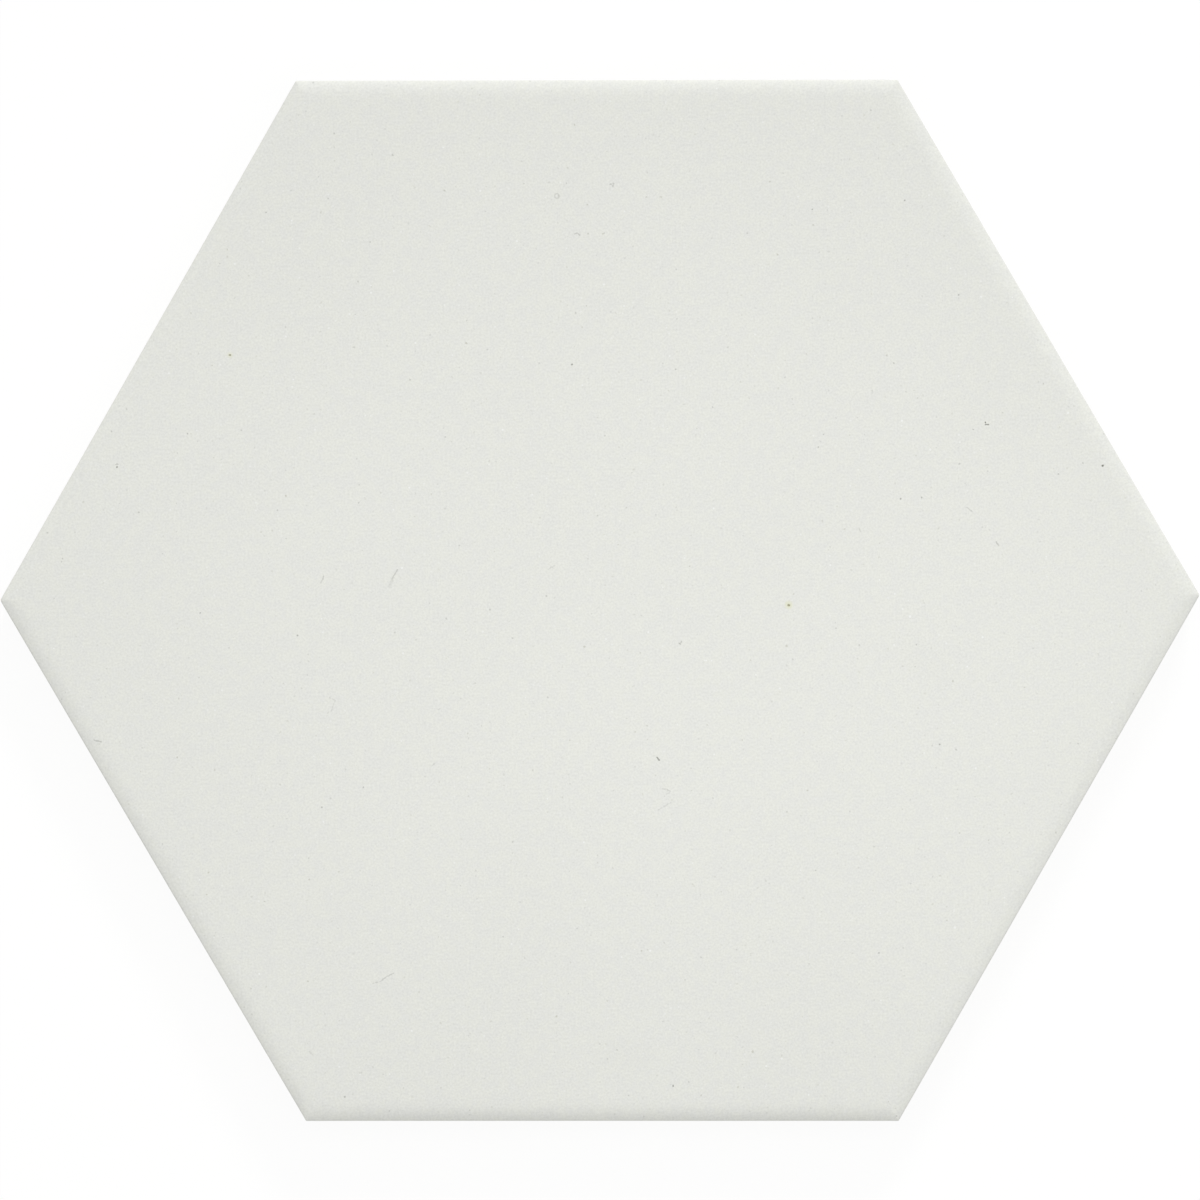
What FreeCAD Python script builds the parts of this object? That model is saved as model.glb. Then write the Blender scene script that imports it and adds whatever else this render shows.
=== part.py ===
"""Hexagon floor tile: pressed and fired porcelain stoneware with a cushioned edge.

Frame, in millimetres: the origin is the centre of the back, +Z points out of the glazed face,
the flats face +Y and -Y and two corners point along +X and -X.

The tile is one pressed body. It starts as a hexagonal blank a little larger than the tile. A
section of the side, with its cushion, arris, joint land, drafted wall and back bevel, is cut along
one flat and turned round one corner, and the pair is repeated six times. The back then gets its
key: recessed hexagonal cells that leave a honeycomb of ribs, with a plain band round it.
"""
import FreeCAD, Part
import math
import os

import Sketcher
from FreeCAD import Vector

TILE = "hexagon_tile"
SIDES = 6

# How a sketch numbers its own horizontal axis, and the points of a line, arc or circle
AXIS = -1
START, END, CENTRE = 1, 2, 3

# Driving dimensions, in millimetres and degrees
SIZES = {
    "across_flats": 173,     # between two opposite joint lands, for a 175 mm laying pitch
    "thickness": 9,          # from the ribs of the back to the face
    "cushion_width": 2.4,    # how far in from the joint land the face starts to fall away
    "cushion_radius": 4.5,   # of the wide arc that leaves the face
    "arris_radius": 0.4,     # of the small arc that turns down into the joint land
    "land_height": 2.6,      # upright strip that faces the next tile across the joint
    "wall_draft": 2,         # lean of the wall under the land, which frees it from the mould
    "back_bevel": 0.3,       # broken edge round the back
    "corner_radius": 0.1,    # of the back's six corners, seen from above
    "cell_across": 16.5,     # across the flats of one recessed cell, at its mouth
    "rib_width": 2.4,        # between two cells
    "cell_depth": 0.7,
    "cell_draft": 20,        # lean of the cell walls
    "border_width": 7,       # least plain band between the cells and the edge of the back
}

# Values that follow from the driving dimensions. In a hexagon, the distance to a flat is that
# to a corner times cos(30).
HALF_FLATS = "sizes.across_flats / 2"
ARRIS_HEIGHT = (
    "(sizes.thickness - sizes.cushion_radius + sqrt(pow(sizes.cushion_radius - sizes.arris_radius; 2)"
    " - pow(sizes.cushion_width - sizes.arris_radius; 2)))"
)
LAND_FOOT = f"({ARRIS_HEIGHT} - sizes.land_height)"
WALL_INSET = f"(({LAND_FOOT} - sizes.back_bevel) * tan(sizes.wall_draft))"
LAND_CORNER = f"(sizes.corner_radius + sizes.back_bevel + {WALL_INSET})"
BLANK_CORNER = f"(({HALF_FLATS} + sizes.cushion_width) / cos(30))"
PITCH = "(sizes.cell_across + sizes.rib_width)"
CELL_CORNER = "(sizes.cell_across / 2 / cos(30))"
ROW_STEP = f"({PITCH} * cos(30))"
ROOM = f"({HALF_FLATS} - {WALL_INSET} - sizes.back_bevel - sizes.border_width - {CELL_CORNER})"
RINGS = f"floor({ROOM} / {ROW_STEP})"

doc = FreeCAD.newDocument("hexagon_floor_tile")
sheet = doc.addObject("Spreadsheet::Sheet", "sizes")
for row, (alias, value) in enumerate(SIZES.items(), start=1):
    sheet.set(f"A{row}", str(value))
    sheet.setAlias(f"A{row}", alias)
doc.recompute()


def number(formula):
    """The value of a formula at the sheet's present sizes."""
    return float(sheet.evalExpression(formula))


def origin_feature(body, role):
    """One of the body's own origin planes or axes."""
    return next(feature for feature in body.Origin.OriginFeatures if feature.Role == role)


def new_sketch(body, name, role):
    """An empty sketch on one of the body's origin planes."""
    sketch = body.newObject("Sketcher::SketchObject", name)
    sketch.AttachmentSupport = [(origin_feature(body, role), "")]
    sketch.MapMode = "FlatFace"
    return sketch


def dimension(sketch, kind, elements, formula):
    """A driving constraint whose value follows the sheet."""
    index = sketch.addConstraint(Sketcher.Constraint(kind, *elements, number(formula)))
    sketch.setExpression(f"Constraints[{index}]", formula)


def place(sketch, element, point, across, up):
    """Holds a point of an element at two distances from the sketch's origin."""
    dimension(sketch, "DistanceX", (element, point), across)
    dimension(sketch, "DistanceY", (element, point), up)


def draw_hexagon(sketch, corner_reach, centre_x, first_corner):
    """A regular hexagon centred on the sketch's horizontal axis.

    Its corners lie on a circle and its sides are equal. first_corner is the angle at which it
    is drawn, in degrees, which the caller then holds with one more constraint.
    """
    radius = number(corner_reach)
    centre = Vector(number(centre_x), 0, 0)
    corners = []
    for corner in range(SIDES):
        angle = math.radians(first_corner + 360 / SIDES * corner)
        corners.append(centre + Vector(math.cos(angle), math.sin(angle), 0) * radius)
    for side in range(SIDES):
        sketch.addGeometry(Part.LineSegment(corners[side], corners[(side + 1) % SIDES]))
    circle = sketch.addGeometry(Part.Circle(centre, Vector(0, 0, 1), radius), True)
    for side in range(SIDES):
        sketch.addConstraint(Sketcher.Constraint("Coincident", side, END, (side + 1) % SIDES, START))
        sketch.addConstraint(Sketcher.Constraint("PointOnObject", side, START, circle))
    for side in range(1, SIDES):
        sketch.addConstraint(Sketcher.Constraint("Equal", 0, side))
    dimension(sketch, "Radius", (circle,), corner_reach)
    sketch.addConstraint(Sketcher.Constraint("PointOnObject", circle, CENTRE, AXIS))
    dimension(sketch, "DistanceX", (AXIS, START, circle, CENTRE), centre_x)
    return circle


def draw_side_section(sketch, side, start):
    """The waste outside the tile's side, as a closed section.

    side is the distance of the joint land from the sketch's origin, and start the distance at
    which the section begins on the cushion. From there it follows the wide cushion arc, the
    arris arc tangent to it, the upright land, the drafted wall and the bevel of the back, and
    closes outside the blank.
    """
    land = number(side)
    face = number("sizes.thickness")
    wide, small = number("sizes.cushion_radius"), number("sizes.arris_radius")
    width = number("sizes.cushion_width")
    arris_z, foot_z = number(ARRIS_HEIGHT), number(LAND_FOOT)
    bevel = number("sizes.back_bevel")
    wall_x = land - number(WALL_INSET)
    up = Vector(0, 0, 1)

    wide_centre = Vector(land - width, face - wide, 0)
    small_centre = Vector(land - small, arris_z, 0)
    first_angle = math.acos((number(start) - wide_centre.x) / wide)
    shared_angle = math.atan2(small_centre.y - wide_centre.y, small_centre.x - wide_centre.x)
    top = wide_centre + Vector(math.cos(first_angle), math.sin(first_angle), 0) * wide
    path = [
        Vector(land, arris_z, 0),
        Vector(land, foot_z, 0),
        Vector(wall_x, bevel, 0),
        Vector(wall_x - bevel, 0, 0),
        Vector(wall_x - bevel, -width, 0),
        Vector(land + 2 * width, -width, 0),
        Vector(land + 2 * width, face + width, 0),
        Vector(top.x, face + width, 0),
        top,
    ]
    wide_circle = Part.Circle(wide_centre, up, wide)
    small_circle = Part.Circle(small_centre, up, small)
    cushion = sketch.addGeometry(Part.ArcOfCircle(wide_circle, shared_angle, first_angle))
    arris = sketch.addGeometry(Part.ArcOfCircle(small_circle, 0, shared_angle))
    lines = [sketch.addGeometry(Part.LineSegment(a, b)) for a, b in zip(path, path[1:])]
    upright, wall, broken_edge, drop, under, outside, over, rise = lines

    sketch.addConstraint(Sketcher.Constraint("Tangent", cushion, START, arris, END))
    sketch.addConstraint(Sketcher.Constraint("Tangent", arris, START, upright, START))
    for before, after in zip(lines, lines[1:]):
        sketch.addConstraint(Sketcher.Constraint("Coincident", before, END, after, START))
    sketch.addConstraint(Sketcher.Constraint("Coincident", rise, END, cushion, END))
    for line in (upright, drop, outside, rise):
        sketch.addConstraint(Sketcher.Constraint("Vertical", line))
    for line in (under, over):
        sketch.addConstraint(Sketcher.Constraint("Horizontal", line))

    dimension(sketch, "Radius", (cushion,), "sizes.cushion_radius")
    dimension(sketch, "Radius", (arris,), "sizes.arris_radius")
    centre_z = "sizes.thickness - sizes.cushion_radius"
    foot_x = f"{side} - {WALL_INSET}"
    place(sketch, cushion, CENTRE, f"{side} - sizes.cushion_width", centre_z)
    dimension(sketch, "DistanceX", (cushion, END), start)
    dimension(sketch, "DistanceX", (upright, START), side)
    dimension(sketch, "DistanceY", (wall, START), LAND_FOOT)
    place(sketch, wall, END, foot_x, "sizes.back_bevel")
    sketch.addConstraint(Sketcher.Constraint("PointOnObject", broken_edge, END, AXIS))
    dimension(sketch, "DistanceX", (broken_edge, END), f"{foot_x} - sizes.back_bevel")

    # Clear of the blank by the cushion's width
    dimension(sketch, "DistanceY", (under, START, AXIS, START), "sizes.cushion_width")
    dimension(sketch, "DistanceX", (outside, START), f"{side} + 2 * sizes.cushion_width")
    dimension(sketch, "DistanceY", (over, START), "sizes.thickness + sizes.cushion_width")


def add_blank(body):
    """The hexagonal blank, larger all round than the tile by the width of the cushion."""
    outline = new_sketch(body, "blank_outline", "XY_Plane")
    draw_hexagon(outline, BLANK_CORNER, "0", 0)
    outline.addConstraint(Sketcher.Constraint("PointOnObject", 0, START, AXIS))
    blank = body.newObject("PartDesign::Pad", "blank")
    blank.Profile = outline
    blank.setExpression("Length", "sizes.thickness")
    doc.recompute()


def add_sides(body):
    """One flat and one corner cut to the side's section, and the pair turned round the tile."""
    section = new_sketch(body, "flat_section", "YZ_Plane")
    draw_side_section(section, HALF_FLATS, f"{HALF_FLATS} - sizes.cushion_width")
    flat = body.newObject("PartDesign::Pocket", "flat")
    flat.Profile = section
    flat.SideType = "Symmetric"
    flat.setExpression("Length", f"2 * {BLANK_CORNER}")
    doc.recompute()

    # The corner's section turns about an upright line. The corner is widest at the land, and
    # inside its radius the cushions of the two sides meet in a mitre.
    turning_x = f"(({HALF_FLATS} - {LAND_CORNER}) / cos(30))"
    corner_x = f"({turning_x} + {LAND_CORNER})"
    section = new_sketch(body, "corner_section", "XZ_Plane")
    reach = f"min(sizes.cushion_width; {LAND_CORNER})"
    draw_side_section(section, corner_x, f"{corner_x} - {reach}")
    foot = Vector(number(turning_x), 0, 0)
    head = Vector(number(turning_x), number("sizes.thickness"), 0)
    pivot = section.addGeometry(Part.LineSegment(foot, head), True)
    section.addConstraint(Sketcher.Constraint("Vertical", pivot))
    section.addConstraint(Sketcher.Constraint("PointOnObject", pivot, START, AXIS))
    dimension(section, "DistanceX", (pivot, START), turning_x)
    dimension(section, "DistanceY", (pivot, END), "sizes.thickness")
    corner = body.newObject("PartDesign::Groove", "corner")
    corner.Profile = section
    corner.ReferenceAxis = (section, ["Axis0"])
    corner.Midplane = True
    corner.Angle = 360 / SIDES
    doc.recompute()

    edge = body.newObject("PartDesign::PolarPattern", "edge")
    edge.Originals = [flat, corner]
    edge.Axis = (origin_feature(body, "Z_Axis"), [""])
    edge.Angle = 360
    edge.Occurrences = SIDES
    body.Tip = edge
    doc.recompute()


def sink_cell(body, name, centre_x):
    """One recessed hexagonal cell of the back, its flats towards +X and -X, its walls leaning in."""
    outline = new_sketch(body, f"{name}_outline", "XY_Plane")
    circle = draw_hexagon(outline, CELL_CORNER, centre_x, 30)
    outline.addConstraint(Sketcher.Constraint("Vertical", SIDES - 1))
    cell = body.newObject("PartDesign::Pocket", name)
    cell.Profile = outline
    cell.Reversed = True
    cell.setExpression("Length", "sizes.cell_depth")
    cell.setExpression("TaperAngle", "-sizes.cell_draft")
    doc.recompute()
    return cell, outline, circle


def add_honeycomb(body):
    """The key of the back: a centre cell and three like fields of cells round it.

    A field is a lozenge of rings by rings + 1 cells between two rays that stand 120 degrees
    apart. Turned twice by 120 degrees, the fields close up into a hexagon without meeting.
    """
    sink_cell(body, "centre_cell", "0")
    cell, outline, circle = sink_cell(body, "first_cell", PITCH)
    pitch = number(PITCH)
    start = Vector(pitch, 0, 0)
    end = start + Vector(math.cos(math.radians(240)), math.sin(math.radians(240)), 0) * pitch
    ray = outline.addGeometry(Part.LineSegment(start, end), True)
    outline.addConstraint(Sketcher.Constraint("Coincident", ray, START, circle, CENTRE))
    dimension(outline, "DistanceX", (ray, END), f"{PITCH} / 2")
    dimension(outline, "DistanceY", (ray, END, AXIS, START), ROW_STEP)
    doc.recompute()

    field = doc.addObject("PartDesign::LinearPattern", "field")
    body.addObject(field)
    field.Direction = (outline, ["H_Axis"])
    field.setExpression("Occurrences", RINGS)
    field.setExpression("Length", f"({RINGS} - 1) * {PITCH}")
    field.Direction2 = (outline, ["Axis0"])
    field.setExpression("Occurrences2", f"{RINGS} + 1")
    field.setExpression("Length2", f"{RINGS} * {PITCH}")
    turns = doc.addObject("PartDesign::PolarPattern", "turns")
    body.addObject(turns)
    turns.Axis = (outline, ["N_Axis"])
    turns.Angle = 360
    turns.Occurrences = 3
    honeycomb = body.newObject("PartDesign::MultiTransform", "honeycomb")
    honeycomb.Originals = [cell]
    honeycomb.Transformations = [field, turns]
    body.Tip = honeycomb
    doc.recompute()
    return cell


def check_tile(body, first_cell):
    """Stops unless every feature is sound and the patterns have cut what they should."""
    for item in doc.Objects:
        if "Invalid" in item.State or "Error" in item.State:
            raise RuntimeError(f"{item.Name} has failed: {item.State}")
    shape = body.Shape
    if shape.isNull() or not shape.isValid() or len(shape.Solids) != 1:
        raise RuntimeError(f"{body.Label} is not one sound solid")
    rings = round(number(RINGS))
    one_cell = first_cell.BaseFeature.Shape.Volume - first_cell.Shape.Volume
    all_cells = doc.edge.Shape.Volume - shape.Volume
    cells = 3 * rings * (rings + 1) + 1
    print(f"{cells} cells in {rings} rings, which cut {all_cells / one_cell:.3f} times one cell")
    if abs(all_cells / one_cell - cells) > 0.01:
        raise RuntimeError("the honeycomb has not cut every cell")


tile = doc.addObject("PartDesign::Body", TILE)
tile.Label = TILE
tile.Placement = FreeCAD.Placement()
add_blank(tile)
add_sides(tile)
first_cell = add_honeycomb(tile)
check_tile(tile, first_cell)

box = tile.Shape.BoundBox
print(f"{TILE}: {box.XLength:.2f} x {box.YLength:.2f} x {box.ZLength:.2f} mm")
print(f"joint land from {number(LAND_FOOT):.3f} to {number(ARRIS_HEIGHT):.3f} mm up")
os.makedirs("parts", exist_ok=True)
tile.Shape.exportStep(f"parts/{TILE}.step")
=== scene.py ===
"""Hexagon floor tile: the fired look of a pressed and glazed porcelain tile.

Lengths are in metres. The origin is the centre of the back, +Z points out of the glazed face, the
flats face +Y and -Y and two corners point along +X and -X.
"""
import math
from collections import namedtuple

import bpy
import numpy as np
from bpy.props import FloatProperty, FloatVectorProperty, IntProperty, PointerProperty
from bpy.types import NodeSocket, Operator, Panel, PropertyGroup
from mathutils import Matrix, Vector


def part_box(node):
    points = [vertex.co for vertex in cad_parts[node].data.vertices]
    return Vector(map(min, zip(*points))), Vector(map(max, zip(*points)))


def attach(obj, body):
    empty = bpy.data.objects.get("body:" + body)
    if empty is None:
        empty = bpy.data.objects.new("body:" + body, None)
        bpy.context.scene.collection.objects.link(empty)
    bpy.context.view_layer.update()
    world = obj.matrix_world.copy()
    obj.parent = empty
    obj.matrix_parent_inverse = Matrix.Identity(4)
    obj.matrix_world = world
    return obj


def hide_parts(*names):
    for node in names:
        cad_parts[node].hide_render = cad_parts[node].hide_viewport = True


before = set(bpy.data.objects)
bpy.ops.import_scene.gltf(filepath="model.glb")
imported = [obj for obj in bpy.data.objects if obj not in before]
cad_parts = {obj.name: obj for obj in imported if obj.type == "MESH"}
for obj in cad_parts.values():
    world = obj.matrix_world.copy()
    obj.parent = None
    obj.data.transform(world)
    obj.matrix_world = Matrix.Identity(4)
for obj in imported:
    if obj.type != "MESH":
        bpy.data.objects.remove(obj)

bl_info = {
    "name": "Hexagon floor tile",
    "version": (1, 0, 0),
    "blender": (4, 5, 0),
    "location": "3D View > Sidebar > Tile",
    "description": "Builds a pressed, glazed and fired porcelain floor tile and its stage",
    "category": "Add Mesh",
}

MM = 0.001
SIDES = 6
TURN = 2 * math.pi / SIDES                 # from one flat, or one corner, to the next
HALF_TURN = TURN / 2                       # from the middle of a flat to its corner
FIRST_FLAT = HALF_TURN                     # direction of the tile's first flat, from +X
WELD_GAP = 1e-4 * MM                       # points closer than this are one point

NODE = "hexagon_tile"
PIECE = "pressed_tile"
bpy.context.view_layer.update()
NODE_LOW, NODE_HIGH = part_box(NODE)
ACROSS_FLATS = NODE_HIGH.y - NODE_LOW.y
THICKNESS = NODE_HIGH.z - NODE_LOW.z


def linear(hex_colour):
    """An sRGB hex colour as linear red, green, blue and an alpha of one."""
    channels = [int(hex_colour[i:i + 2], 16) / 255 for i in (1, 3, 5)]
    return (*[c / 12.92 if c <= 0.04045 else ((c + 0.055) / 1.055) ** 2.4 for c in channels], 1.0)


def length(name, description, millimetres):
    """A length that a user can change, given in millimetres."""
    return FloatProperty(name=name, description=description, default=millimetres * MM, min=0,
                         unit="LENGTH", precision=5)


def angle(name, description, degrees):
    """An angle that a user can change, given in degrees."""
    return FloatProperty(name=name, description=description, default=math.radians(degrees), min=0,
                         unit="ROTATION", subtype="ANGLE")


def portion(name, description, default):
    """A share between none and all that a user can change."""
    return FloatProperty(name=name, description=description, default=default, min=0, max=1,
                         subtype="FACTOR")


def colour(name, description, hex_colour):
    """A colour that a user can change, given as sRGB hex."""
    return FloatVectorProperty(name=name, description=description, default=linear(hex_colour),
                               size=4, min=0, max=1, subtype="COLOR")


class TileSizes(PropertyGroup):
    """Sizes of the pressed body."""

    across_flats: length("Across flats", "Between two opposite joint lands", ACROSS_FLATS / MM)
    thickness: length("Thickness", "From the ribs of the back to the face", THICKNESS / MM)
    cushion_width: length("Cushion width", "How far in from the land the face falls away", 2.5)
    cushion_radius: length("Cushion radius", "Radius of the wide arc that leaves the face", 5.4)
    cushion_fade: length("Cushion fade", "Over what width the arc eases into the face", 0.5)
    arris_radius: length("Arris radius", "Radius of the arc that turns down into the land", 0.5)
    mitre_fade: length("Mitre fade", "How far in the corners' rounding fades out", 2.4)
    corner_radii: FloatVectorProperty(
        name="Corner radii", size=SIDES, min=0, unit="LENGTH", precision=5,
        default=[r * MM for r in (0.55, 0.4, 0.65, 0.2, 0.2, 0.6)],
        description="Radius of each corner, from the one after the first flat on")
    side_shortfalls: FloatVectorProperty(
        name="Side shortfalls", size=SIDES, min=0, unit="LENGTH", precision=5,
        default=[r * MM for r in (0.19, 0.14, 0.01, 0.80, 0.23, 0.63)],
        description="How far each fired side falls short of the true one, from the first flat on")
    side_turns: FloatVectorProperty(
        name="Side turns", size=SIDES, unit="ROTATION", precision=3,
        default=[math.radians(a) for a in (0.13, -0.15, 0.11, 0.185, -0.25, -0.03)],
        description="How far each fired side is turned out of true, from the first flat on")
    side_depths: FloatVectorProperty(
        name="Side depths", size=SIDES, min=0.5, max=1.5, precision=3,
        default=(1.1, 0.95, 1.0, 0.8, 1.15, 0.88),
        description="Share of the true depth by which each side's cushion falls, from the first "
                    "flat on")
    land_foot: length("Land foot", "Height at which the upright strip at the joint ends", 5.48)
    wall_draft: angle("Wall draft", "Lean of the wall under the land", 2)
    back_bevel: length("Back bevel", "Broken edge round the back", 0.3)
    worn_edge: length("Worn edge", "Radius of the small edges under the land", 0.12)
    cell_across: length("Cell across", "Across the flats of one recessed cell", 16.5)
    rib_width: length("Rib width", "Between two cells of the back", 2.4)
    cell_depth: length("Cell depth", "How deep the cells are", 0.7)
    cell_draft: angle("Cell draft", "Lean of the cell walls", 20)
    cell_corner: length("Cell corner", "Radius of a cell's corners, seen from below", 0.9)
    cell_rings: IntProperty(name="Cell rings", description="Rings of cells round the centre cell",
                            default=4, min=1)
    rib_edge: length("Rib edge", "Radius of the edges of ribs and cell floors", 0.22)
    face_wander: length("Face wander", "How far the fired face dips below a true plane", 0.035)
    side_wander: length("Side wander", "How far the fired sides waver", 0.02)
    cushion_wander: portion("Cushion wander",
                            "Share by which the cushion's width comes and goes", 0.05)


class TileColours(PropertyGroup):
    """Colours of the glaze and of the body under it."""

    glaze_cool: colour("Cool glaze", "Glaze where it lies thick", "#E6E7E2")
    glaze_warm: colour("Warm glaze", "Glaze where it lies thin", "#E7E8E1")
    speck: colour("Speck", "Dark mineral specks and marks in the glaze", "#74756C")
    iron: colour("Iron speck", "Tan specks of iron in the glaze", "#85825C")
    iron_halo: colour("Iron halo", "Glaze that iron has tinted", "#E2E3BE")
    bubble: colour("Bubble", "Pale pinheads in the glaze", "#F4F5F2")
    biscuit: colour("Biscuit", "Unglazed body", "#E2DFD6")
    biscuit_dark: colour("Dark biscuit", "Unglazed body where it has coarser grains", "#D6D2C7")
    kiln_wash: colour("Kiln wash", "Chalky release powder on the back", "#ECEBE6")


class StageSizes(PropertyGroup):
    """Camera and lights."""

    lens: FloatProperty(name="Lens", description="Focal length of the camera", default=150, min=10,
                        unit="CAMERA")
    frame_width: length("Frame width", "What the picture takes in across the tile", 199.02)
    ambient: portion("Ambient", "Share of the face's light that comes from all round", 0.645)
    overhead: portion("Overhead", "Share of the face's light that the overhead lamp gives", 0.165)
    slanting: portion("Slanting", "Share of the face's light that the low lamp gives", 0.19)
    floor: colour("Floor", "Pale floor under the tile", "#F2F2F0")


# Surfaces

def outline(apothems, turns, radii, flat_steps, corner_steps):
    """Points round a six-sided outline with rounded corners, and the outward normals there.

    Both are complex numbers. The first side faces +X, and each side is the line at its apothem,
    square to its normal, which is turned out of true by its turn. The centre of the corner after
    a side is where the lines one radius inside both sides meet. Points are evenly spaced on a
    side and turn evenly round a corner. Rows of apothems and radii give rows of points.
    """
    normal = np.exp(1j * (TURN * np.arange(SIDES) + turns))
    after = np.roll(normal, -1)
    inside, inside_after = apothems - radii, np.roll(apothems, -1, axis=-1) - radii
    centre = -1j * (inside * after - inside_after * normal) / (normal.conj() * after).imag
    end, start = centre + radii * normal, np.roll(centre + radii * after, 1, axis=-1)
    share = np.linspace(0, 1, flat_steps + 1)
    flat = start[..., None] + (end - start)[..., None] * share
    turning = np.linspace(0, 1, corner_steps + 1)[1:-1] * np.angle(after / normal)[:, None]
    heading = normal[:, None] * np.exp(1j * turning)
    corner = centre[..., None] + radii[..., None] * heading
    points = np.concatenate([flat, corner], axis=-1)
    normals = np.concatenate([np.repeat(normal[:, None], flat_steps + 1, axis=1), heading], axis=1)
    return points.reshape(*apothems.shape[:-1], -1), normals.ravel()


def rounded_line(points, radius, steps):
    """A line through points, with an arc of the given radius at each inner point.

    Each arc starts and ends at radius * tan(turn / 2) from its point. A point just before and one
    just after it hold the flats beside it flat when they are shaded smooth.
    """
    points = np.asarray(points, dtype=float)
    line = [points[:1]]
    for before, point, after in zip(points, points[1:], points[2:]):
        into = (point - before) / np.linalg.norm(point - before)
        out = (after - point) / np.linalg.norm(after - point)
        turn = math.acos(float(np.clip(into @ out, -1, 1)))
        setback = radius * math.tan(turn / 2)
        share = np.linspace(0, 1, steps + 1)[:, None]
        start, end = point - into * setback, point + out * setback
        arc = (1 - share) ** 2 * start + 2 * share * (1 - share) * point + share ** 2 * end
        hold = 0.3 * radius
        line += [[start - into * hold], arc, [end + out * hold]]
    line.append(points[-1:])
    return np.concatenate(line)


def cushion_lean(inset, sizes):
    """Sine of the cushion's lean at an inset from the land.

    It is fade / radius * ln(1 + exp((width - inset) / fade)): the lean of an arc that meets the
    face at the cushion's width, eased in over the fade.
    """
    fade = sizes.cushion_fade
    return fade / sizes.cushion_radius * np.log1p(np.exp((sizes.cushion_width - inset) / fade))


MEETING_ROUNDS = 20                        # rounds that settle where cushion and arris meet
FADES_TO_LEVEL = 5                         # fades past the cushion's width where the face is level
CUSHION_ROWS, ARRIS_ROWS = 26, 13          # points of the section on the cushion and on the arris
ROW_CROWDING = 1.4                         # power by which the cushion's points crowd to the arris


def side_section(sizes):
    """The tile's side from the face down to the back: inset from the land, and height.

    The cushion falls by the tangent of its lean, summed over the inset, and goes over into the
    arris arc where both lean alike. The land is upright, the wall under it leans in, and a bevel
    breaks its foot.
    """
    small = sizes.arris_radius
    meeting = 0.0
    for _ in range(MEETING_ROUNDS):
        meeting = small * (1 - cushion_lean(meeting, sizes))
    reach = sizes.cushion_width + FADES_TO_LEVEL * sizes.cushion_fade
    inset = meeting + (reach - meeting) * np.linspace(1, 0, CUSHION_ROWS) ** ROW_CROWDING
    lean = np.arcsin(cushion_lean(inset, sizes))
    slope = np.tan(lean)
    fall = np.cumsum(-np.diff(inset) * (slope[1:] + slope[:-1]) / 2)
    height = sizes.thickness - np.concatenate([[0], fall])
    turning = np.linspace(lean[-1], math.pi / 2, ARRIS_ROWS)[1:]
    arris = height[-1] - small * (math.cos(lean[-1]) - np.cos(turning))

    foot, bevel = sizes.land_foot, sizes.back_bevel
    wall_inset = (foot - bevel) * math.tan(sizes.wall_draft)
    under = rounded_line([
        (0, (arris[-1] + foot) / 2),
        (0, foot),
        (wall_inset, bevel),
        (wall_inset + bevel, 0),
        (wall_inset + 2 * bevel, 0),
    ], sizes.worn_edge, 4)
    return (np.concatenate([inset, small * (1 - np.sin(turning)), under[:, 0]]),
            np.concatenate([height, arris, under[:, 1]]))


def waves(x, y, longest, count, seed):
    """A smooth unevenness between 0 and 1.

    It is the mean of cosine waves that run in random directions, with lengths between a third
    of the longest and the longest, moved and scaled from -1..1 to 0..1.
    """
    random = np.random.default_rng(seed)
    heading = random.uniform(0, 2 * math.pi, count)
    start = random.uniform(0, 2 * math.pi, count)
    wavelength = longest * random.uniform(1 / 3, 1, count)
    along = x[..., None] * np.cos(heading) + y[..., None] * np.sin(heading)
    return 0.5 + 0.5 * np.cos(2 * math.pi * along / wavelength + start).mean(axis=-1)


def hexagon_lattice(rings, pitch):
    """Points of an even triangular lattice that fills a hexagon, and its triangles.

    A point is q steps towards the first corner and r towards the second, where q, r and q + r
    are at most the number of rings. Two triangles share each lozenge of four points.
    """
    steps = np.arange(-rings, rings + 1)
    q, r = np.meshgrid(steps, steps, indexing="ij")
    inside = np.abs(q + r) <= rings
    index = np.full(q.shape, -1)
    index[inside] = np.arange(inside.sum())
    points = np.stack([(q + r / 2)[inside], (r * math.cos(HALF_TURN))[inside]], axis=-1) * pitch
    a, b, c, d = index[:-1, :-1], index[1:, :-1], index[:-1, 1:], index[1:, 1:]
    triangles = np.concatenate([np.stack([a, b, c], -1), np.stack([b, d, c], -1)]).reshape(-1, 3)
    ring = np.maximum(np.maximum(np.abs(q), np.abs(r)), np.abs(q + r))[inside]
    return points, triangles[(triangles >= 0).all(axis=1)], np.flatnonzero(ring == rings)


def woven(rows, columns):
    """Triangles between the rows of a grid whose columns close up into a ring."""
    index = np.arange(rows * columns).reshape(rows, columns)
    a, b = index[:-1], index[1:]
    c, d = np.roll(b, -1, axis=1), np.roll(a, -1, axis=1)
    return np.concatenate([np.stack([a, b, c], -1), np.stack([a, c, d], -1)]).reshape(-1, 3)


def band(points, outer, inner):
    """Triangles that close the gap between two loops of points round the origin, facing +Z.

    The points of both loops are taken in the order of their directions. Each one makes a
    triangle with the point before it in its own loop and the last point met in the other.
    """
    heading = np.arctan2(points[:, 1], points[:, 0])
    outer, inner = outer[np.argsort(heading[outer])], inner[np.argsort(heading[inner])]
    order = np.argsort(np.concatenate([heading[outer], heading[inner]]), kind="stable")
    is_outer = order < len(outer)
    i, j = np.cumsum(is_outer) - 1, np.cumsum(~is_outer) - 1
    on_outer = np.stack([outer[i - 1], outer[i], inner[j]], -1)[is_outer]
    on_inner = np.stack([inner[j], inner[j - 1], outer[i]], -1)[~is_outer]
    return np.concatenate([on_outer, on_inner])


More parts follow.
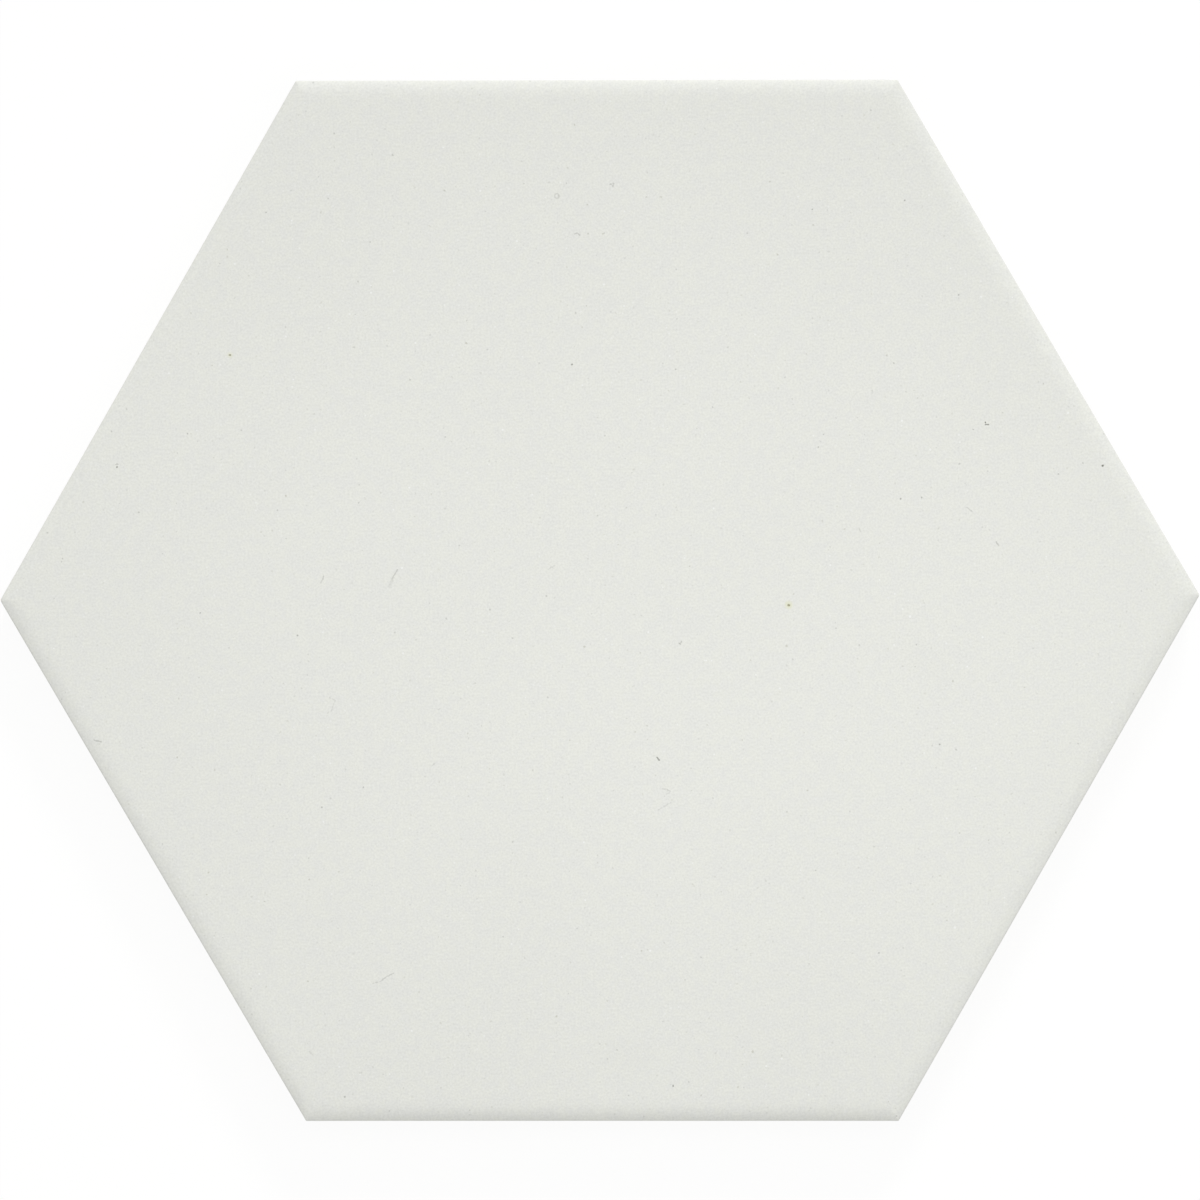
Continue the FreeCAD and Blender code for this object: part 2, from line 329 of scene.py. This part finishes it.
def welded(points, triangles):
    """One point for those that coincide, without the triangles that this closes up."""
    keys = np.round(points / WELD_GAP).astype(np.int64)
    _, first, index = np.unique(keys, axis=0, return_index=True, return_inverse=True)
    triangles = index.reshape(-1)[triangles]
    a, b, c = triangles.T
    return points[first], triangles[(a != b) & (b != c) & (c != a)]


OWN_DEPTH = 0.42                           # turns from a side's middle that keep its own depth


def rim(sizes):
    """The side section carried round the tile, with the slight waver of a fired edge.

    Each corner of the land has a radius of its own, which fades inwards as exp(-inset / fade).
    Each side's fall from the face to the land is multiplied by that side's depth, which goes over
    into the next one's along a straight line near the corner.
    """
    inset, height = (values[:, None] for values in side_section(sizes))
    apothems = sizes.across_flats / 2 - np.array(sizes.side_shortfalls) - inset
    radii = np.array(sizes.corner_radii) * np.exp(-inset / sizes.mitre_fade)
    points, normals = outline(apothems, np.array(sizes.side_turns), radii,
                              flat_steps=84, corner_steps=10)
    land_row = np.argmin(inset)
    land = points[land_row]
    knots = (np.arange(SIDES)[:, None] + (-OWN_DEPTH, OWN_DEPTH)).ravel()
    depth = np.interp(np.angle(land) / TURN, knots, np.repeat(sizes.side_depths, 2), period=SIDES)
    over_land = np.arange(len(inset))[:, None] <= land_row
    fall = sizes.thickness - height
    height = sizes.thickness - fall * np.where(over_land, depth, 1)
    widening = sizes.cushion_wander * (2 * waves(land.real, land.imag, 60 * MM, 9, seed=3) - 1)
    wander = sizes.side_wander * waves(land.real, land.imag, 90 * MM, 7, seed=5)
    points = (points - normals * (inset * widening + wander)) * np.exp(1j * FIRST_FLAT)
    rows, columns = points.shape
    solid = np.stack([points.real, points.imag, height], -1)
    return solid.reshape(-1, 3), woven(rows, columns), columns


def honeycomb(sizes):
    """The key of the back: one cell's profile carried round a hexagon, once for each cell.

    The profile starts on the middle of the rib, where neighbouring cells share their points,
    rounds the rib's edge, goes up the leaning wall and over the floor to the cell's centre.
    """
    pitch = sizes.cell_across + sizes.rib_width
    mouth = sizes.cell_across / 2
    floor = mouth - sizes.cell_depth * math.tan(sizes.cell_draft)
    profile = rounded_line(
        [(pitch / 2, 0), (mouth, 0), (floor, sizes.cell_depth), (0, sizes.cell_depth)],
        sizes.rib_edge, 3)
    apothem = np.repeat(profile[:, :1], SIDES, axis=1)
    corner = sizes.cell_corner * np.clip((pitch / 2 - apothem) / (pitch / 2 - mouth), 0, 1)
    cell, _ = outline(apothem, np.zeros(SIDES), np.minimum(corner, apothem),
                      flat_steps=5, corner_steps=4)
    rows, columns = cell.shape
    ring = np.stack([cell.real, cell.imag, np.repeat(profile[:, 1:], columns, axis=1)], -1)
    centres, _, _ = hexagon_lattice(sizes.cell_rings, pitch)
    centres = np.column_stack([centres, np.zeros(len(centres))])
    points = centres[:, None, None, :] + ring
    triangles = woven(rows, columns) + cell.size * np.arange(len(centres))[:, None, None]
    return welded(points.reshape(-1, 3), triangles.reshape(-1, 3))


def rim_of(triangles, count):
    """The points on the open edge of a patch of triangles: ends of edges that only one has."""
    edges = np.concatenate([triangles[:, [0, 1]], triangles[:, [1, 2]], triangles[:, [2, 0]]])
    edges = np.sort(edges, axis=1)
    keys, uses = np.unique(edges[:, 0] * count + edges[:, 1], return_counts=True)
    single = keys[uses == 1]
    return np.unique(np.concatenate([single // count, single % count]))


FACE_RINGS = 72                            # rings of the face's lattice
LATTICE_WIDTHS = 2.5                       # cushion widths by which the lattice stays off the land


def tile_surface(sizes):
    """The whole closed surface: face lattice, rim and back, joined by two flat bands."""
    rim_points, rim_triangles, columns = rim(sizes)

    lattice_inset = LATTICE_WIDTHS * sizes.cushion_width
    face_apothem = sizes.across_flats / 2 - max(sizes.side_shortfalls) - lattice_inset
    flat, face_triangles, face_edge = hexagon_lattice(
        FACE_RINGS, face_apothem / math.cos(HALF_TURN) / FACE_RINGS)
    face_points = np.column_stack([flat, np.full(len(flat), sizes.thickness)])
    cell_points, cell_triangles = honeycomb(sizes)
    cell_edge = rim_of(cell_triangles, len(cell_points))

    first_face, first_cell = len(rim_points), len(rim_points) + len(face_points)
    points = np.concatenate([rim_points, face_points, cell_points])
    top_loop, back_loop = np.arange(columns), np.arange(first_face - columns, first_face)
    triangles = np.concatenate([
        rim_triangles,
        face_triangles + first_face,
        cell_triangles + first_cell,
        band(points, top_loop, face_edge + first_face),
        band(points, back_loop, cell_edge + first_cell)[:, ::-1],
    ])
    level = np.clip(2 * points[:, 2] / sizes.thickness - 1, 0, 1)
    dip = waves(points[:, 0], points[:, 1], 70 * MM, 12, seed=8)
    points[:, 2] -= sizes.face_wander * level * dip
    return points, triangles


def mesh_object(name, points, triangles):
    """A smooth shaded mesh object at the origin."""
    mesh = bpy.data.meshes.new(name)
    mesh.vertices.add(len(points))
    mesh.vertices.foreach_set("co", points.ravel())
    mesh.loops.add(triangles.size)
    mesh.loops.foreach_set("vertex_index", triangles.ravel())
    mesh.polygons.add(len(triangles))
    mesh.polygons.foreach_set("loop_start", np.arange(0, triangles.size, 3))
    mesh.update(calc_edges=True)
    mesh.validate()
    mesh.shade_smooth()
    piece = bpy.data.objects.new(name, mesh)
    bpy.context.scene.collection.objects.link(piece)
    return piece


# Materials

Mark = namedtuple("Mark", "start end radius depth")


def dots(radius, depth, *places):
    """Marks that are single points, alike in radius and depth."""
    return tuple(Mark(place, place, radius, depth) for place in places)


# Marks that were fired into the glaze, in millimetres on the face. A mark is a stroke from its
# start to its end, or a dot. Depth is the share of the mark's colour.
DARK_MARKS = {
    "fibre": (
        Mark((-33.5, 5.3), (-34.4, 3.8), 0.16, 0.32),
        Mark((-34.3, 3.9), (-34.8, 2.6), 0.42, 0.12),
    ),
    "short_fibre": (
        Mark((-45.7, 4.3), (-45.9, 3.8), 0.16, 0.32),
        Mark((-45.9, 3.8), (-46.2, 3.2), 0.16, 0.22),
    ),
    "ash": (
        *dots(0.22, 1.0, (64.0, 29.3)),
        Mark((64.0, 28.9), (64.5, 28.9), 0.13, 0.75),
    ),
    "hook": (
        Mark((-80.1, 22.9), (-79.9, 23.1), 0.16, 0.32),
        Mark((-79.9, 23.1), (-79.7, 22.9), 0.16, 0.32),
        *dots(0.25, 0.66, (-79.9, 22.5)),
    ),
    "smudge": dots(0.25, 0.32, (2.1, 69.0), (2.6, 69.1), (2.5, 68.7)),
    "curl": (
        Mark((13.5, -6.8), (13.3, -7.2), 0.16, 0.32),
        *dots(0.20, 0.42, (13.2, -7.1)),
    ),
    "arc": (
        Mark((-3.9, 60.8), (-3.5, 61.0), 0.16, 0.32),
        Mark((-3.5, 61.0), (-3.1, 60.6), 0.16, 0.32),
    ),
    "comma": (
        Mark((65.7, 9.5), (66.1, 8.9), 0.18, 0.32),
    ),
    "left_hook": (
        Mark((-83.9, -22.7), (-82.7, -23.0), 0.18, 0.32),
    ),
    "crescent": (
        Mark((10.3, -31.2), (10.9, -31.2), 0.16, 0.22),
        Mark((10.9, -31.2), (11.5, -31.6), 0.16, 0.22),
        Mark((11.4, -31.8), (10.9, -32.1), 0.15, 0.15),
        Mark((11.6, -33.5), (9.6, -34.6), 0.15, 0.15),
    ),
    "curled_hair": (
        Mark((-44.8, -15.9), (-43.9, -16.3), 0.15, 0.15),
        Mark((-43.9, -16.3), (-44.6, -18.1), 0.15, 0.15),
    ),
    "twig": (
        Mark((-40.7, 42.2), (-40.4, 42.2), 0.16, 0.22),
    ),
    "slashes": (
        Mark((-8.5, 5.3), (-7.4, 5.9), 0.15, 0.15),
        Mark((43.0, 11.9), (43.2, 11.3), 0.16, 0.22),
        Mark((60.9, 15.2), (61.8, 14.5), 0.16, 0.22),
        Mark((-27.9, -27.2), (-27.4, -26.8), 0.16, 0.22),
        Mark((-48.4, -74.5), (-47.9, -75.0), 0.22, 0.16),
    ),
    "hair": (
        Mark((-37.9, -63.2), (-36.5, -62.8), 0.13, 0.25),
        Mark((-36.5, -62.8), (-35.8, -62.2), 0.13, 0.25),
        Mark((-35.8, -62.2), (-34.4, -61.5), 0.13, 0.25),
    ),
    "clouds": (
        Mark((1.0, -75.0), (6.0, -75.8), 4.00, 0.013),
        Mark((52.3, -8.9), (56.5, -11.4), 4.00, 0.013),
    ),
    "black_grit": (
        *dots(0.28, 1.0, (83.4, 22.0)),
        *dots(0.20, 0.72, (-4.4, 39.2)),
        *dots(0.25, 0.66, (11.8, -80.4)),
        Mark((9.4, -26.0), (9.7, -26.4), 0.20, 0.72),
    ),
    "dark_grit": dots(
        0.20, 0.52,
        (-50.1, -5.5), (76.1, 20.7), (53.4, 16.9), (35.5, 64.7), (50.8, 66.1), (-66.2, -1.7),
        (56.2, -24.0), (49.9, 16.7),
    ),
    "grey_grit": dots(
        0.20, 0.42,
        (36.3, 25.3), (62.0, 28.1), (-42.6, -82.0), (12.7, 38.3), (-39.3, -30.7), (-46.2, -34.0),
        (46.0, -58.5), (-68.2, 28.0), (52.4, -7.5), (-55.0, 64.6), (59.7, 50.4), (39.1, -4.7),
    ),
    "fine_grit": dots(
        0.18, 0.32,
        (-18.2, -1.4), (14.4, -79.8), (52.8, 33.4), (80.1, 22.5), (-39.8, 19.4), (2.5, -74.4),
        (45.3, 81.1), (-6.5, 67.1),
    ),
    "soft_grit": dots(
        0.22, 0.3,
        (37.2, 27.4), (-0.3, 14.1), (-14.5, -6.1), (-76.3, 15.0), (-89.0, 7.4), (79.1, -24.0),
        (58.9, -24.9), (-39.8, 53.1), (-31.3, 36.8),
    ),
    "faint_grit": dots(0.22, 0.16, (-8.1, 69.4)),
}
IRON_MARKS = {
    "iron_right": (Mark((31.2, -0.8), (31.4, -0.9), 0.25, 0.85),),
    "iron_left": dots(0.26, 0.85, (-61.1, 41.0)),
}
IRON_HALOS = {
    "halo_right": dots(0.95, 0.55, (31.3, -0.8)),
    "halo_left": dots(0.70, 0.30, (-61.1, 41.0)),
}
PINHOLE = Mark((-6.8, 67.1), (-6.8, 67.1), 0.38, 0.24)      # a dark ring round a burst bubble
PINHOLE_RIM = 0.2                          # how wide the ring fades out to both sides
FAR_OFF = 1000.0                           # farther than any mark

RAGGED = 0.3                               # how far fine noise moves a rim, in millimetres
MARK_CORE = 0.3                            # share of a mark's radius where it has its whole depth
SPECK_RIM = (-0.05, 0.1)                   # from this far outside a speck to this far inside
SPECK_STRENGTH, SPECK_POWER = 0.105, -1 / 3

FIRST_NUMBER, SECOND_NUMBER = 2, 3         # inputs of a Mix node for two numbers
FIRST_COLOUR, SECOND_COLOUR = 6, 7         # and for two colours
MIXED_COLOUR = 2                           # its output for colours


def add(tree, kind, links=None, **settings):
    """Adds a node, with its settings and with values or other nodes' outputs in its inputs."""
    node = tree.nodes.new(kind)
    for name, value in settings.items():
        setattr(node, name, value)
    for name, value in (links or {}).items():
        if isinstance(value, NodeSocket):
            tree.links.new(value, node.inputs[name])
        else:
            node.inputs[name].default_value = value
    return node


def grain(tree, place, size, detail=2.0, roughness=0.5):
    """Noise between 0 and 1 whose grains are about size millimetres across."""
    return add(tree, "ShaderNodeTexNoise", {
        "Vector": place, "Scale": 1 / size, "Detail": detail, "Roughness": roughness,
    }).outputs["Fac"]


def ramp(tree, value, low, high, to_low=0.0, to_high=1.0):
    """A value carried from low..high to to_low..to_high along a smooth step."""
    return add(tree, "ShaderNodeMapRange", {
        "Value": value, "From Min": low, "From Max": high, "To Min": to_low, "To Max": to_high,
    }, interpolation_type="SMOOTHSTEP").outputs["Result"]


def calculated(tree, operation, *values):
    """The result of a calculation with one to three values."""
    inputs = dict(enumerate(values))
    return add(tree, "ShaderNodeMath", inputs, operation=operation).outputs["Value"]


def blended(tree, share, first, second):
    """The first colour going over to the second."""
    mix = add(tree, "ShaderNodeMix", {
        "Factor": share, FIRST_COLOUR: first, SECOND_COLOUR: second,
    }, data_type="RGBA")
    return mix.outputs[MIXED_COLOUR]


def specks(tree, place, ragged, spacing, largest, seed):
    """How much each point lies in a speck, and a random share for each speck.

    Specks sit at random points about spacing millimetres apart in all directions. Their radii
    are even lots from nothing to the largest. Their strength follows a power law, 0.105 divided
    by the cube root of an even lot, so that most are faint. ragged, fine noise from 0 to 1, makes
    their outlines uneven.
    """
    moved = add(tree, "ShaderNodeVectorMath", {
        0: place, 1: (seed, 2 * seed, 3 * seed),
    }, operation="ADD").outputs["Vector"]
    cells = add(tree, "ShaderNodeTexVoronoi", {"Vector": moved, "Scale": 1 / spacing})
    lots = add(tree, "ShaderNodeSeparateColor", {"Color": cells.outputs["Color"]})
    away = calculated(tree, "MULTIPLY_ADD", cells.outputs["Distance"], spacing,
                      calculated(tree, "MULTIPLY", ragged, RAGGED))
    radius = calculated(tree, "MULTIPLY_ADD", lots.outputs[0], largest, RAGGED / 2)
    inside = ramp(tree, calculated(tree, "SUBTRACT", radius, away), *SPECK_RIM)
    strength = calculated(tree, "MULTIPLY", calculated(tree, "POWER", lots.outputs[1], SPECK_POWER),
                          SPECK_STRENGTH)
    return calculated(tree, "MULTIPLY", inside, strength), lots.outputs[2]


def distance_to(tree, place, mark):
    """The distance to the nearest point of the line between a mark's ends."""
    start, end = Vector((*mark.start, 0)), Vector((*mark.end, 0))
    run = end - start
    away_from, nearest = place, start
    if run.length > 0:
        away_from = add(tree, "ShaderNodeVectorMath", {
            0: place, 1: start,
        }, operation="SUBTRACT").outputs["Vector"]
        reached = add(tree, "ShaderNodeVectorMath", {
            0: away_from, 1: run / run.length_squared,
        }, operation="DOT_PRODUCT").outputs["Value"]
        held = add(tree, "ShaderNodeClamp", {"Value": reached}).outputs["Result"]
        nearest = add(tree, "ShaderNodeVectorMath", {
            0: run, "Scale": held,
        }, operation="SCALE").outputs["Vector"]
    return add(tree, "ShaderNodeVectorMath", {
        0: away_from, 1: nearest,
    }, operation="DISTANCE").outputs["Value"]


def strokes(tree, place, ragged, marks):
    """How much each point of the face lies in one of the marks.

    Marks that are alike in radius and depth are drawn as one, at the distance to the nearest of
    them, and fine noise from 0 to 1 makes their rims uneven.
    """
    waver = calculated(tree, "MULTIPLY_ADD", ragged, RAGGED, -RAGGED / 2)
    finishes = {}
    for mark in (mark for group in marks.values() for mark in group):
        finishes.setdefault((mark.radius, mark.depth), []).append(mark)
    total = 0.0
    for (radius, depth), alike in finishes.items():
        nearest = FAR_OFF
        for mark in alike:
            nearest = calculated(tree, "MINIMUM", distance_to(tree, place, mark), nearest)
        away = calculated(tree, "ADD", nearest, waver)
        inside = ramp(tree, away, radius, MARK_CORE * radius, 0.0, depth)
        total = calculated(tree, "MAXIMUM", inside, total)
    return total


def matt_glaze(tree, place, on_face, fine, colours):
    """Colour, roughness and height of the fired glaze.

    A zirconium-white glaze, sprayed on and fired matt: an even, slightly green off-white with a
    silky grain of about 0.4 mm, pale pinheads, and sparse dark and tan mineral specks.
    place is in millimetres, on_face is the same place without its height, and fine is the silky
    grain. The height is in micrometres.
    """
    # What drift over the tile, broad grain and fine grain add up to is near one on the mean
    drift_light, broad_light, fine_light = (0.848, 0.858), 0.035, 0.275
    broad = grain(tree, place, 1.6, roughness=0.6)
    shade = blended(tree, ramp(tree, broad, 0.35, 0.65), colours.glaze_cool, colours.glaze_warm)
    light = ramp(tree, grain(tree, place, 45.0, detail=1.0), 0.3, 0.7, *drift_light)
    light = calculated(tree, "MULTIPLY_ADD", broad, broad_light, light)
    light = calculated(tree, "MULTIPLY_ADD", fine, fine_light, light)
    shade = add(tree, "ShaderNodeVectorMath", {
        0: shade, "Scale": light,
    }, operation="SCALE").outputs["Vector"]

    # Random pinheads, stronger than the dark specks, and specks, of which a tenth are tan
    pinhead_strength, deepest_speck = 4.5, 0.28
    pinheads, _ = specks(tree, place, fine, spacing=1.2, largest=0.18, seed=11)
    pinheads = calculated(tree, "MULTIPLY", pinheads, pinhead_strength)
    shade = blended(tree, pinheads, shade, colours.bubble)
    depth, lot = specks(tree, place, fine, spacing=1.2, largest=0.19, seed=5)
    pigment = blended(tree, ramp(tree, lot, 0.9, 0.94), colours.speck, colours.iron)
    shade = blended(tree, calculated(tree, "MINIMUM", depth, deepest_speck), shade, pigment)

    dark = strokes(tree, on_face, fine, DARK_MARKS)
    off_ring = calculated(tree, "SUBTRACT", distance_to(tree, on_face, PINHOLE), PINHOLE.radius)
    ring = ramp(tree, calculated(tree, "ABSOLUTE", off_ring), PINHOLE_RIM, 0.0, 0.0, PINHOLE.depth)
    dark = calculated(tree, "MAXIMUM", dark, ring)
    shade = blended(tree, dark, shade, colours.speck)
    shade = blended(tree, strokes(tree, on_face, fine, IRON_HALOS), shade, colours.iron_halo)
    shade = blended(tree, strokes(tree, on_face, fine, IRON_MARKS), shade, colours.iron)

    smoothest, roughest = 0.52, 0.62
    roughness = ramp(tree, fine, 0.3, 0.7, smoothest, roughest)
    orange_peel, peel_height, grain_height = grain(tree, place, 2.4, detail=1.0), 12.0, 10.0
    height = calculated(tree, "MULTIPLY_ADD", orange_peel, peel_height,
                        calculated(tree, "MULTIPLY", fine, grain_height))
    return shade, roughness, height


def porcelain_biscuit(tree, place, up, fine, colours):
    """Colour, roughness and height of the bare body.

    Pressed and fired porcelain stoneware without glaze: a dry, pale ivory clay with coarser
    grains, and on the back the chalky powder that keeps the tile off the kiln's rollers, in
    clouds that the rollers have drawn out along Y. up is the height over the back in millimetres,
    fine is noise from 0 to 1, and the height that comes back is in micrometres.
    """
    roller_stretch, dry_roughness, pore_depth = 0.08, 0.88, 15.0
    clay = ramp(tree, grain(tree, place, 0.5, detail=3.0, roughness=0.7), 0.35, 0.7)
    shade = blended(tree, clay, colours.biscuit, colours.biscuit_dark)
    cloud = ramp(tree, grain(tree, place, 14.0), 0.42, 0.62)
    stretch = add(tree, "ShaderNodeMapping", {"Vector": place, "Scale": (1.0, roller_stretch, 1.0)})
    roller = ramp(tree, grain(tree, stretch.outputs["Vector"], 5.0), 0.45, 0.6)
    powder = calculated(tree, "MULTIPLY", calculated(tree, "MULTIPLY", cloud, roller),
                        ramp(tree, up, 1.4, 0.7, 0.0, 0.8))
    shade = blended(tree, powder, shade, colours.kiln_wash)
    return shade, dry_roughness, calculated(tree, "MULTIPLY", fine, -pore_depth)


def glazed_porcelain(colours):
    """Matt glaze on the face and the upper land, ending in a ragged line over bare biscuit."""
    material = bpy.data.materials.new("matt_glazed_porcelain")
    material.use_nodes = True
    tree = material.node_tree
    tree.nodes.clear()
    metres = add(tree, "ShaderNodeTexCoord").outputs["Object"]
    place = add(tree, "ShaderNodeMapping", {
        "Vector": metres, "Scale": (1 / MM,) * 3,
    }).outputs["Vector"]
    on_face = add(tree, "ShaderNodeMapping", {
        "Vector": metres, "Scale": (1 / MM, 1 / MM, 0),
    }).outputs["Vector"]
    fine = grain(tree, place, 0.36, roughness=0.6)
    glaze = matt_glaze(tree, place, on_face, fine, colours)
    up = add(tree, "ShaderNodeSeparateXYZ", {"Vector": place}).outputs["Z"]
    biscuit = porcelain_biscuit(tree, place, up, fine, colours)

    # The glaze ends in a ragged line on the land, 1.6 mm under the arris on the mean, and a mist
    # of it lies on the wall below. It moves up and down by long runs and by short ones
    long_run, short_run = 0.7, 0.25
    run = calculated(
        tree, "ADD",
        ramp(tree, grain(tree, place, 6.0, detail=0.0), 0.3, 0.7, -long_run, long_run),
        ramp(tree, grain(tree, place, 0.8, detail=0.0), 0.3, 0.7, -short_run, short_run))
    level = calculated(tree, "ADD", up, run)
    covered = ramp(tree, level, 6.35, 6.6)
    misted = blended(tree, ramp(tree, level, 3.2, 6.4, 0.0, 0.6), biscuit[0], colours.glaze_cool)

    shade = blended(tree, covered, misted, glaze[0])
    roughness, height = (add(tree, "ShaderNodeMix", {
        "Factor": covered, FIRST_NUMBER: biscuit[i], SECOND_NUMBER: glaze[i],
    }).outputs[0] for i in (1, 2))
    glaze_thickness, micrometre = 100.0, 0.001 * MM
    height = calculated(tree, "MULTIPLY_ADD", covered, glaze_thickness, height)
    bump = add(tree, "ShaderNodeBump", {"Height": height, "Distance": micrometre, "Strength": 1.0})
    shader = add(tree, "ShaderNodeBsdfPrincipled", {
        "Base Color": shade, "Roughness": roughness, "Normal": bump.outputs["Normal"], "IOR": 1.5,
    })
    add(tree, "ShaderNodeOutputMaterial", {"Surface": shader.outputs["BSDF"]})
    return material


# Stage

FLOOR_REACH = 1.5                          # from the tile to the floor's edges
FLOOR_GLOW = 1.03                          # plain white, made up for what the shadow takes
GLOW_SHARE = 0.88                          # the rest of the seen floor shows the tile's shadow
OVERHEAD_PLACE = (24 * MM, -17 * MM)       # right of the middle, where the face is brightest
OVERHEAD_HEIGHT = 0.18
OVERHEAD_SIZE = (0.24, 0.06)
SLANTING_AZIMUTH = math.radians(77.5)
SLANTING_ELEVATION = math.radians(26.5)
SLANTING_DISTANCE = 3.0
SLANTING_SIZE = (0.6, 0.6)
SENSOR_WIDTH = 36                          # millimetres of a full frame
CLIPPING = (0.01, 10)
CAMERA_PLACE = (0.033 * MM, 0.143 * MM)    # over the middle of the outline
CAMERA_TURN = math.radians(-0.252)
OUTLINE_DROP = 0.96 * MM                   # how far under the face the seen outline lies


def lamp_power(share, distance, slant=1.0):
    """Watts with which a lamp lights a level face by this share of plain white light.

    A lamp of P watts lights a face square to it by P / (pi * pi * distance^2), and one under it
    on a slant by the cosine of the slant less.
    """
    return share * (math.pi * distance) ** 2 / slant


def add_lamp(name, place, target, size, watts):
    """A soft lamp that faces a point, unseen by the camera."""
    light = bpy.data.lights.new(name, "AREA")
    light.shape = "RECTANGLE"
    light.size, light.size_y = size
    light.energy = watts
    lamp = bpy.data.objects.new(name, light)
    lamp.location = place
    lamp.rotation_euler = (Vector(target) - Vector(place)).to_track_quat("-Z", "Y").to_euler()
    lamp.visible_camera = False
    bpy.context.scene.collection.objects.link(lamp)


def seen_directly(tree):
    """One for rays from the camera, and for those mirrored or let through on their way."""
    path = add(tree, "ShaderNodeLightPath").outputs
    seen = calculated(tree, "ADD", path["Is Camera Ray"], path["Is Glossy Ray"])
    seen = calculated(tree, "ADD", seen, path["Is Transmission Ray"])
    return add(tree, "ShaderNodeClamp", {"Value": seen}).outputs[0]


def white_floor(settings):
    """A painted floor board, seen white with a faint shadow, that lights the tile plainly."""
    material = bpy.data.materials.new("white_painted_board")
    material.use_nodes = True
    tree = material.node_tree
    tree.nodes.clear()
    board = add(tree, "ShaderNodeBsdfDiffuse", {"Color": settings.floor}).outputs[0]
    glow = add(tree, "ShaderNodeEmission", {"Strength": FLOOR_GLOW}).outputs[0]
    glowing = calculated(tree, "MULTIPLY", seen_directly(tree), GLOW_SHARE)
    mixed = add(tree, "ShaderNodeMixShader", {0: glowing, 1: board, 2: glow}).outputs[0]
    add(tree, "ShaderNodeOutputMaterial", {"Surface": mixed})
    return material


def light_world(settings):
    """Even light from all round, seen as white."""
    world = bpy.data.worlds.new("even_light")
    world.use_nodes = True
    tree = world.node_tree
    tree.nodes.clear()
    strength = add(tree, "ShaderNodeMix", {
        "Factor": seen_directly(tree), FIRST_NUMBER: settings.ambient, SECOND_NUMBER: 1.0,
    }).outputs[0]
    background = add(tree, "ShaderNodeBackground", {"Color": (1, 1, 1, 1), "Strength": strength})
    add(tree, "ShaderNodeOutputWorld", {"Surface": background.outputs[0]})
    bpy.context.scene.world = world


# Operators

class HEXTILE_OT_pressed_tile(Operator):
    """Make the pressed, glazed and fired tile"""

    bl_idname = "hextile.pressed_tile"
    bl_label = "Pressed tile"

    def execute(self, context):
        points, triangles = tile_surface(context.scene.hextile_sizes)
        tile = mesh_object(PIECE, points, triangles)
        tile.data.materials.append(glazed_porcelain(context.scene.hextile_colours))
        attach(tile, "root")
        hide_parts(NODE)
        return {"FINISHED"}


class HEXTILE_OT_stage(Operator):
    """Make the floor, the lights and a camera that looks straight down"""

    bl_idname = "hextile.stage"
    bl_label = "Stage"

    def execute(self, context):
        settings = context.scene.hextile_stage
        corners = FLOOR_REACH * np.array([(-1, -1, 0), (1, -1, 0), (1, 1, 0), (-1, 1, 0)])
        floor = mesh_object("floor", corners, np.array([(0, 1, 2), (0, 2, 3)]))
        floor.data.materials.append(white_floor(settings))
        light_world(settings)

        add_lamp("overhead_lamp", (*OVERHEAD_PLACE, OVERHEAD_HEIGHT), (*OVERHEAD_PLACE, 0),
                 OVERHEAD_SIZE, lamp_power(settings.overhead, OVERHEAD_HEIGHT))
        slant = math.sin(SLANTING_ELEVATION)
        flat_away = SLANTING_DISTANCE * math.cos(SLANTING_ELEVATION)
        low = (flat_away * math.cos(SLANTING_AZIMUTH), flat_away * math.sin(SLANTING_AZIMUTH),
               SLANTING_DISTANCE * slant)
        add_lamp("slanting_lamp", low, (0, 0, 0), SLANTING_SIZE,
                 lamp_power(settings.slanting, SLANTING_DISTANCE, slant))

        lens = bpy.data.cameras.new("camera")
        lens.lens, lens.sensor_width = settings.lens, SENSOR_WIDTH
        lens.clip_start, lens.clip_end = CLIPPING
        outline_z = context.scene.hextile_sizes.thickness - OUTLINE_DROP
        height = settings.frame_width * settings.lens / lens.sensor_width
        camera = bpy.data.objects.new("camera", lens)
        camera.location = (*CAMERA_PLACE, outline_z + height)
        camera.rotation_euler = (0, 0, CAMERA_TURN)
        context.scene.collection.objects.link(camera)
        context.scene.camera = camera
        context.scene.view_settings.view_transform = "Standard"
        return {"FINISHED"}


class HEXTILE_PT_panel(Panel):
    """Lists the tile's sizes and colours, and what makes it"""

    bl_idname = "HEXTILE_PT_panel"
    bl_label = "Hexagon floor tile"
    bl_space_type = "VIEW_3D"
    bl_region_type = "UI"
    bl_category = "Tile"

    def draw(self, context):
        for group_name in GROUPS:
            group, box = getattr(context.scene, group_name), self.layout.box()
            for name in group.__annotations__:
                box.prop(group, name)
        for operator in OPERATORS:
            self.layout.operator(operator.bl_idname)


OPERATORS = (HEXTILE_OT_pressed_tile, HEXTILE_OT_stage)
GROUPS = {"hextile_sizes": TileSizes, "hextile_colours": TileColours, "hextile_stage": StageSizes}
CLASSES = (*GROUPS.values(), *OPERATORS, HEXTILE_PT_panel)


def register():
    """Adds the classes and gives each scene its sizes and colours."""
    for item in CLASSES:
        bpy.utils.register_class(item)
    for name, group in GROUPS.items():
        setattr(bpy.types.Scene, name, PointerProperty(type=group))


def unregister():
    """Takes away what register added."""
    for name in GROUPS:
        delattr(bpy.types.Scene, name)
    for item in reversed(CLASSES):
        bpy.utils.unregister_class(item)


def main():
    """Makes the tile and its stage."""
    register()
    bpy.ops.hextile.pressed_tile()
    bpy.ops.hextile.stage()


if __name__ == "__main__":
    main()
